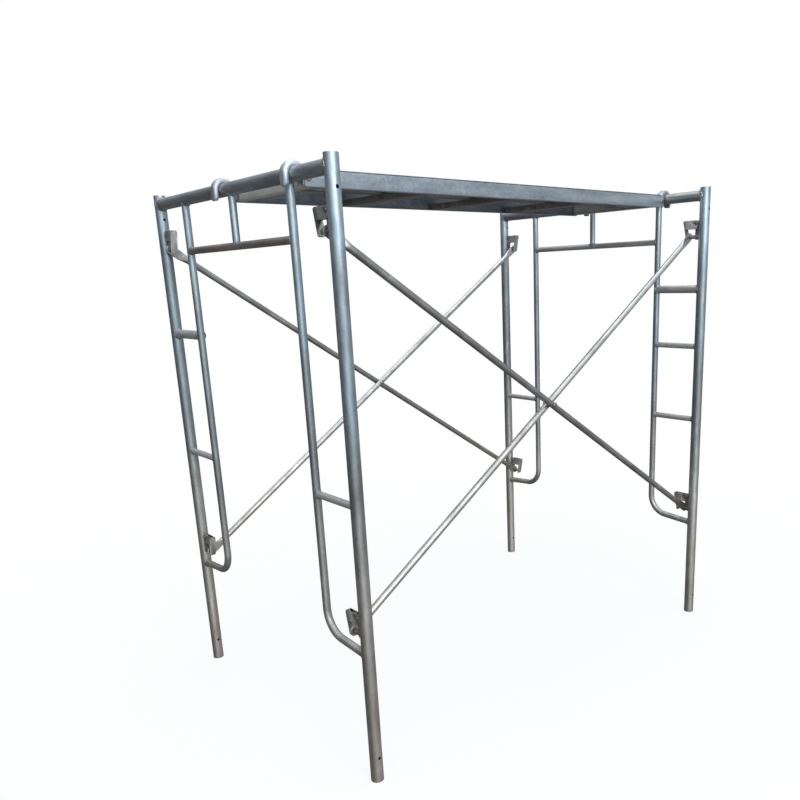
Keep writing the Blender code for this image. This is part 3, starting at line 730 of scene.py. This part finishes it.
def lock_mesh():
    top = PIVOT_PIN_R + 0.008
    nose = -PIVOT_ABOVE_STUD - 0.014
    top_reach = STUD_TIP_OFFSET + 0.019 - PIVOT_OFFSET
    nose_reach = STUD_TIP_OFFSET + 0.0015 - PIVOT_OFFSET
    cheek_low = -PIVOT_ABOVE_STUD + 0.032
    low_reach = nose_reach + (top_reach - nose_reach) * (cheek_low - nose) / (top - nose)
    cheek = arc((0, 0), top, math.pi / 2, math.pi, 14)
    cheek += [(-top, -0.004), (-0.004, cheek_low)]
    cheek += [(low_reach + LOCK_SHEET / 2, cheek_low), (top_reach + LOCK_SHEET / 2, top)]
    half_gap = LOCK_CHEEK_GAP / 2
    left = prism("cheek", cheek, "X", half_gap, half_gap + LOCK_SHEET)
    right = prism("cheek", cheek, "X", -half_gap - LOCK_SHEET, -half_gap)
    web = web_mesh(Vector((0, nose_reach, nose)), Vector((0, top_reach, top)))
    half_pin = half_gap + LOCK_SHEET
    head = [(0.0015, -half_pin - 0.0024), (0.0042, -half_pin - 0.0019), (0.0054, -half_pin)]
    head += [(PIVOT_PIN_R, -half_pin), (PIVOT_PIN_R, half_pin), (0.0054, half_pin)]
    head += [(0.0042, half_pin + 0.0019), (0.0015, half_pin + 0.0024)]
    pin = lathe("pin", head, X_AXIS, sides=24)
    return baked("brace_lock", web, [join(left), join(right), round_edges(0.0007), join(pin)])


def build_studs_and_locks():
    stud, bead, lock = stud_mesh(), stud_bead_mesh(), lock_mesh()
    for letter in LETTERS:
        for side_name in SIDES:
            side = 1 if side_name == "left" else -1
            for level in LEVELS:
                leg = middle(f"{letter}_leg_{side_name}")
                tail = f"{side_name}_{level}"
                pin_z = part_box(f"{letter}_lock_{tail}")[1].z - PIVOT_PIN_R - 0.008
                pivot = Vector((leg.x, leg.y - side * PIVOT_OFFSET, pin_z))
                place = Matrix.Translation(pivot)
                if side > 0:
                    place = place @ HALF_TURN
                node = f"{letter}_stud_{tail}"
                add(f"brace_stud_{letter}_{tail}", stud, hardware, "frame", place, [node])
                add(f"stud_weld_{letter}_{tail}", bead, weld, "frame", place)
                node = f"{letter}_lock_{tail}"
                add(f"brace_lock_{letter}_{tail}", lock, hardware, node + "_body", place, [node])


# Cross braces: local +X from the hole at frame A to the hole at frame B


def brace_ring(along, radius, half_width, half_thickness, flatness, sides=32):
    points = []
    for k in range(sides):
        angle = (k + 0.5) * 2 * math.pi / sides
        c, s = math.cos(angle), math.sin(angle)
        flat = math.copysign(half_width - half_thickness, c) + half_thickness * c
        z = radius * c + (flat - radius * c) * flatness
        y = radius * s + (half_thickness * s - radius * s) * flatness
        points.append(Vector((along, y, z)))
    return points


def brace_half(length, inset):
    radius = BRACE_R - inset
    half_thickness = SLIT_HALF_THICKNESS if inset else FLAT_HALF_THICKNESS
    hole = length / 2
    rings = []
    steps = 12
    for step in range(steps + 1):
        share = step / steps
        along = hole - FLAT_LENGTH - TRANSITION_LENGTH * (1 - share)
        flatness = share * share * (3 - 2 * share)
        rings.append(brace_ring(along, radius, FLAT_HALF_WIDTH - inset, half_thickness, flatness))
    for degrees in (0, 15, 30, 45, 58, 70, 78):
        angle = math.radians(degrees)
        half_width = FLAT_HALF_WIDTH * math.cos(angle) - inset
        rings.append(brace_ring(hole + FLAT_HALF_WIDTH * math.sin(angle), radius, half_width, half_thickness, 1))
    return rings


def brace_mesh(length):
    skins = []
    for inset in (0, BRACE_WALL):
        half = brace_half(length, inset)
        other = [[Vector((-p.x, p.y, p.z)) for p in ring] for ring in reversed(half)]
        skins.append(other + half)
    outer, inner = skins
    body = looped("brace_tube", outer + inner[::-1])
    drill = [(BRACE_HOLE_R, -0.02), (BRACE_HOLE_R, 0.02)]
    cuts = [cut(lathe("hole", drill, Y_AXIS, Vector((end * length / 2, 0, 0)), 32)) for end in (-1, 1)]
    rivet_hole = [(0.0044, -0.03), (0.0044, 0.03)]
    cuts.append(cut(lathe("hole", rivet_hole, Y_AXIS, Vector(), 24)))
    return baked("brace", body, cuts)


def rivet_mesh(half):
    """A shank with a domed head and a washer under it on each side."""
    side = [(0.004, half), (0.0105, half), (0.0105, half + 0.0012), (0.0088, half + 0.0012)]
    side += [(0.0082, half + 0.0024), (0.0062, half + 0.0038), (0.0032, half + 0.0046), (0.001, half + 0.0048)]
    mirrored = [(r, -y) for r, y in reversed(side)]
    return lathe("rivet", mirrored + side, Y_AXIS, sides=40)


def build_braces():
    low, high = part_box("a_stud_left_lower"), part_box("a_stud_left_upper")
    rise = (high[0] - low[0]).z
    run = 2 * LEG_X
    mesh = brace_mesh(math.hypot(run, rise))
    tilt = math.atan2(rise, run)
    for side_name in SIDES:
        offsets = []
        # Falling braces take the copy with painted shade, rising braces the copy with painted light.
        for kind, sign, material in (("falling", 1, brace_dark), ("rising", -1, brace_pale)):
            node = f"brace_{kind}_{side_name}"
            centre = middle(node)
            offsets.append(centre)
            place = Matrix.Translation(centre) @ Matrix.Rotation(sign * tilt, 4, "Y")
            add(f"cross_brace_{kind}_{side_name}", mesh, material, "frame", place, [node])
        centre = (offsets[0] + offsets[1]) / 2
        half = abs(offsets[0].y - offsets[1].y) / 2 + BRACE_R + 0.0003
        node = f"brace_rivet_{side_name}"
        place = Matrix.Translation(centre)
        add(f"centre_rivet_{side_name}", rivet_mesh(half), hardware, "frame", place, [node])


# Plank


def deck_mesh(low, high):
    """A sheet with rows of flared anti-slip holes, wall and lip included."""
    pitch_x, pitch_y = 0.0415, 0.0385
    hole_r, lip_r, flare_r, lip = 0.0062, 0.0072, 0.0108, 0.0024
    margin_y = 0.019
    top, bottom = high.z, low.z
    columns = int((high.x - low.x - 0.06) / pitch_x)
    rows = int((high.y - low.y - 2 * margin_y) / pitch_y)
    start_x = (low.x + high.x - columns * pitch_x) / 2
    start_y = (low.y + high.y - rows * pitch_y) / 2
    per_side = 4
    bm = bmesh.new()
    square = []
    for (u0, v0), (u1, v1) in zip(((-1, -1), (1, -1), (1, 1), (-1, 1)), ((1, -1), (1, 1), (-1, 1), (-1, -1))):
        for i in range(per_side):
            square.append((u0 + (u1 - u0) * i / per_side, v0 + (v1 - v0) * i / per_side))
    for column in range(columns):
        for row in range(rows):
            x = start_x + (column + 0.5) * pitch_x
            y = start_y + (row + 0.5) * pitch_y
            rings = []
            edge = [(x + u * pitch_x / 2, y + v * pitch_y / 2) for u, v in square]
            rings.append([(a, b, top) for a, b in edge])
            levels = [(flare_r, top), (lip_r + 0.0008, top + lip * 0.85), (lip_r, top + lip)]
            levels += [(hole_r, top + lip), (hole_r, top + lip * 0.2), (flare_r - 0.0018, bottom)]
            for radius, z in levels:
                angles = [math.atan2(v, u) for u, v in square]
                rings.append([(x + radius * math.cos(t), y + radius * math.sin(t), z) for t in angles])
            rings.append([(a, b, bottom) for a, b in edge])
            skin(bm, [[bm.verts.new(p) for p in ring] for ring in rings], False)
    bmesh.ops.remove_doubles(bm, verts=bm.verts, dist=0.00002)
    grow_border(bm, low, high, top, bottom)
    return mesh_from("deck", bm, 50)


def grow_border(bm, low, high, top, bottom):
    """Extends the punched field's open edges to the sheet's outline and closes its rim."""
    field = [e for e in bm.edges if e.is_boundary]
    made = bmesh.ops.extrude_edge_only(bm, edges=field)["geom"]
    verts = [g for g in made if isinstance(g, bmesh.types.BMVert)]
    xs, ys = [v.co.x for v in verts], [v.co.y for v in verts]
    left, right, near, far = min(xs), max(xs), min(ys), max(ys)
    tolerance = 0.0001
    for vert in verts:
        if vert.co.x < left + tolerance:
            vert.co.x = low.x
        elif vert.co.x > right - tolerance:
            vert.co.x = high.x
        if vert.co.y < near + tolerance:
            vert.co.y = low.y
        elif vert.co.y > far - tolerance:
            vert.co.y = high.y
    rim = [e for e in bm.edges if e.is_boundary]
    bmesh.ops.bridge_loops(bm, edges=rim)


def hat_section(width, depth, flange):
    half = width / 2
    left = [(-half - flange, depth), (-half, depth), (-half, SHEET)]
    right = [(-u, v) for u, v in reversed(left)]
    corners = left + right
    path = [corners[0], corners[1], (-half, 0), (half, 0), corners[-2], corners[-1]]
    return path


def formed(name, path, along, start, end):
    outline = bent_sheet(rounded(path, BEND_R, 4), SHEET)
    return prism(name, outline, along, start, end)


def rail_mesh(depth, length):
    cutback = 0.022
    path = [(0.016, 0), (0, 0), (0, depth), (0.022, depth)]
    channel = formed("rail", path, "X", -length / 2, length / 2)
    cuts = []
    for end in (-1, 1):
        near, far = end * (length / 2 - cutback), end * (length / 2 + cutback)
        outline = [(near, -depth), (far, -depth), (far, 2 * depth), (near, 2 * depth)]
        cuts.append(cut(prism("notch", outline, "Y", SHEET + 0.0004, depth)))
        hole = [(0.0045, -0.006), (0.0045, 0.006)]
        centre = Vector((end * (length / 2 - 0.014), 0, depth / 2))
        cuts.append(cut(lathe("hole", hole, Y_AXIS, centre, 24)))
    return baked("rail", channel, cuts)


def hook_section(depth):
    """A pressed U, open towards the ledger, with a crowned back: (across, outwards) points."""
    half = HOOK_WIDTH / 2
    path = rounded([(-half, 0), (-half, depth), (half, depth), (half, 0)], HOOK_CORNER, 8)
    section = []
    for u, v in bent_sheet(path, HOOK_WALL):
        crown = HOOK_CROWN * (1 - (u / half) ** 2) if v > HOOK_WALL else 0
        section.append((u, v + crown))
    return section


def hook_mesh():
    """The hook's section swept over the ledger; origin on the ledger's axis, +X to the plank."""
    radius = LEG_R + 0.0006
    stations = [(Vector((radius, 0, -HOOK_TONGUE)), X_AXIS, HOOK_TONGUE_DEPTH, 1.0)]
    steps, taper_steps = 28, 10
    for step in range(steps + 1):
        angle = math.pi * step / steps
        outward = Vector((math.cos(angle), 0, math.sin(angle)))
        share = min(step / taper_steps, 1)
        depth = HOOK_TONGUE_DEPTH + (HOOK_DEPTH - HOOK_TONGUE_DEPTH) * share * share * (3 - 2 * share)
        stations.append((radius * outward, outward, depth, 1.0))
    for drop, flare, width in ((0.012, 0.0, 1.0), (0.023, 0.0006, 0.97), (0.030, 0.002, 0.86), (HOOK_LIP, 0.004, 0.66)):
        stations.append((Vector((-radius - flare, 0, -drop)), -X_AXIS, HOOK_DEPTH - flare, width))
    bm = bmesh.new()
    loops = []
    for base, outward, depth, width in stations:
        loops.append([bm.verts.new(base + Y_AXIS * u * width + outward * v) for u, v in hook_section(depth)])
    skin(bm, loops, False)
    bm.faces.new(loops[0])
    bm.faces.new(loops[-1])
    return baked("hook", mesh_from("hook", bm), [round_edges(0.0009, 2)])


def rivet_head(radius, height):
    profile = [(radius, -0.001), (radius, height * 0.25), (radius * 0.86, height * 0.7)]
    profile += [(radius * 0.55, height), (radius * 0.3, height * 0.93), (radius * 0.24, height * 0.35)]
    return lathe("rivet_head", profile, -Y_AXIS, sides=28)


def build_plank():
    low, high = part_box("plank_deck")
    add("deck_sheet", deck_mesh(low, high), sheet_bright, "plank", nodes=["plank_deck"])
    rail_low, rail_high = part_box("plank_rail_right")
    depth, length = rail_high.z - rail_low.z, rail_high.x - rail_low.x
    rail = rail_mesh(depth, length)
    right = Matrix.Translation((0, rail_low.y, rail_low.z))
    left = Matrix.Translation((0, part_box("plank_rail_left")[1].y, rail_low.z)) @ HALF_TURN
    add("side_rail_right", rail, sheet_bright, "plank", right, ["plank_rail_right"])
    add("side_rail_left", rail, sheet_bright, "plank", left, ["plank_rail_left"])
    for node in ("plank_end_a", "plank_end_b"):
        box_low, box_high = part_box(node)
        size = box_high - box_low
        path = [(-size.x, size.z), (0, size.z), (0, 0), (-size.x, 0)]
        mesh = formed("end_channel", path, "Y", -size.y / 2, size.y / 2)
        centre = (box_low + box_high) / 2
        if node.endswith("b"):
            place = Matrix.Translation((box_high.x, centre.y, box_low.z))
        else:
            place = Matrix.Translation((box_low.x, centre.y, box_low.z)) @ HALF_TURN
        add("end_channel_" + node[-1], mesh, sheet_pale_painted_lit, "plank", place, [node])
    box_low, box_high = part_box("plank_stiffener")
    path = hat_section(0.044, box_high.z - box_low.z, 0.012)
    half = (box_high.x - box_low.x) / 2
    mesh = formed("stiffener", path, "X", -half, half)
    place = Matrix.Translation((0, (box_low.y + box_high.y) / 2, box_low.z))
    add("centre_stiffener", mesh, sheet_dull, "plank", place, ["plank_stiffener"])
    for index in (1, 2, 3):
        node = f"plank_rib_{index}"
        box_low, box_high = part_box(node)
        centre = (box_low + box_high) / 2
        path = hat_section(0.050, box_high.z - box_low.z, 0.010)
        half = (box_high.y - box_low.y) / 2
        mesh = formed("rib", path, "Y", -half, half)
        place = Matrix.Translation((centre.x, centre.y, box_low.z))
        add(f"cross_rib_{index}", mesh, sheet_dull, "plank", place, [node])
    build_hooks(rail_low, rail_high)


def build_hooks(rail_low, rail_high):
    hook = hook_mesh()
    head = rivet_head(0.0085, 0.0035)
    far_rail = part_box("plank_rail_left")[1].y
    for letter in LETTERS:
        end = -1 if letter == "a" else 1
        for side_name in SIDES:
            node = f"plank_hook_{letter}_{side_name}"
            place = Matrix.Translation((end * LEG_X, middle(node).y, LEDGER_Z))
            if letter == "b":
                place = place @ HALF_TURN
            add(f"hook_{letter}_{side_name}", hook, hook_metal, "plank", place, [node])
            x = end * (rail_high.x - 0.014)
            z = (rail_low.z + rail_high.z) / 2
            if side_name == "right":
                place = Matrix.Translation((x, rail_low.y, z))
            else:
                place = Matrix.Translation((x, far_rail, z)) @ HALF_TURN
            add(f"hook_rivet_{letter}_{side_name}", head, hardware, "plank", place)


def build_all():
    post = tube("inner_post", post_stations(), POST_R, POST_WALL, 40, across_host(LEDGER_Z, LEG_R), leg_host(1))
    shared = {"leg": leg_mesh(), "ledger": ledger_mesh(), "bar": bar_mesh(), "strut": strut_mesh(), "post": post}
    for letter in LETTERS:
        build_frame(letter, shared)
    build_studs_and_locks()
    build_braces()
    build_plank()


# Studio


def camera():
    """A camera whose axes and lens give the reference view; rows are right, down and forward."""
    right = Vector((0.7367974, -0.67540469, -0.03095307))
    down = Vector((-0.19414846, -0.1674994, -0.96656626))
    forward = Vector((0.64763876, 0.71817299, -0.25454191))
    data = bpy.data.cameras.new("camera")
    data.sensor_fit = "VERTICAL"
    data.sensor_height = 36
    data.sensor_width = 30  # unused by a vertical fit, but the turned views stand back by it
    data.lens = 34.637
    data.shift_x = -0.10097
    data.shift_y = 0.09775
    obj = bpy.data.objects.new("camera", data)
    bpy.context.scene.collection.objects.link(obj)
    axes = Matrix((right, -down, -forward)).transposed()
    obj.matrix_world = Matrix.Translation((-2.1188, -2.5017, 1.5989)) @ axes.to_4x4()
    bpy.context.scene.camera = obj


def floor():
    bm = bmesh.new()
    bmesh.ops.create_circle(bm, cap_ends=True, segments=96, radius=30)
    mesh = mesh_from("floor", bm)
    material = bpy.data.materials.new("studio_floor")
    material.use_nodes = True
    g = Graph(material)
    tree = g.tree
    shader = tree.nodes["Principled BSDF"]
    shader.inputs["Base Color"].default_value = (0.9, 0.9, 0.9, 1)
    shader.inputs["Roughness"].default_value = 0.9
    glow = g.node("ShaderNodeEmission", {"Color": (1, 1, 1, 1), "Strength": 1.0})
    source = g.node("ShaderNodeTexCoord").outputs["Object"]
    length = g.node("ShaderNodeVectorMath", {0: source}, operation="LENGTH").outputs["Value"]
    share = g.ramp(length, 0.5, 3.5, 0.82, 1.0)
    blend = g.node("ShaderNodeMixShader", {0: share, 1: shader.outputs[0], 2: glow.outputs[0]})
    tree.links.new(blend.outputs[0], tree.nodes["Material Output"].inputs["Surface"])
    material.cycles.emission_sampling = "NONE"  # its glow is only for the camera
    mesh.materials.append(material)
    obj = bpy.data.objects.new("floor", mesh)
    obj.location.z = -0.0005
    bpy.context.scene.collection.objects.link(obj)
    obj.visible_glossy = False
    obj.visible_diffuse = False


def world():
    made = bpy.data.worlds.new("studio")
    bpy.context.scene.world = made
    made.use_nodes = True
    g = Graph(made)
    tree = g.tree
    background = tree.nodes.get("Background") or tree.nodes.new("ShaderNodeBackground")
    output = tree.nodes.get("World Output") or tree.nodes.new("ShaderNodeOutputWorld")
    direction = g.node("ShaderNodeTexCoord").outputs["Generated"]

    def facing(azimuth, elevation, low, high):
        a, e = math.radians(azimuth), math.radians(elevation)
        axis = (math.cos(a) * math.cos(e), math.sin(a) * math.cos(e), math.sin(e))
        dot = g.node("ShaderNodeVectorMath", {0: direction, 1: axis}, operation="DOT_PRODUCT")
        return g.ramp(dot.outputs["Value"], low, high)

    key = g.math("POWER", facing(243, 18, 0.25, 1.0), 2.3)
    side = facing(318, 10, -0.3, 0.95)
    sky = facing(0, 90, 0.25, 0.92)
    below = facing(0, -90, 0.05, 0.6)
    colour = g.mix(side, (0.13, 0.135, 0.14), (0.42, 0.43, 0.44))
    colour = g.mix(sky, colour, (0.80, 0.88, 0.96))
    colour = g.mix(g.math("MULTIPLY", below, 0.45), colour, (0.10, 0.09, 0.08))
    colour = g.mix(1.0, colour, g.mix(key, (0.0, 0.0, 0.0), (1.15, 1.2, 1.25)), "ADD")
    tree.links.new(colour, background.inputs["Color"])
    background.inputs["Strength"].default_value = 1.0
    white = g.node("ShaderNodeBackground", {"Color": (1, 1, 1, 1), "Strength": 1.0})
    ray = g.node("ShaderNodeLightPath").outputs["Is Camera Ray"]
    both = g.node("ShaderNodeMixShader", {0: ray, 1: background.outputs[0], 2: white.outputs[0]})
    tree.links.new(both.outputs[0], output.inputs["Surface"])


def area_light(name, location, target, size, power, colour):
    data = bpy.data.lights.new(name, "AREA")
    data.shape = "RECTANGLE"
    data.size, data.size_y = size
    data.energy = power
    data.color = colour
    obj = bpy.data.objects.new(name, data)
    obj.location = location
    heading = Vector(target) - Vector(location)
    obj.rotation_euler = heading.to_track_quat("-Z", "Y").to_euler()
    bpy.context.scene.collection.objects.link(obj)


build_all()
camera()
floor()
world()
area_light("key", (-1.2, -4.6, 3.6), (0, 0, 1.1), (2.0, 2.0), 70, (0.97, 0.99, 1.0))
area_light("top", (0, 0, 5.0), (0, 0, 0), (4, 4), 60, (1, 1, 1))
bpy.context.scene.view_settings.view_transform = "Standard"
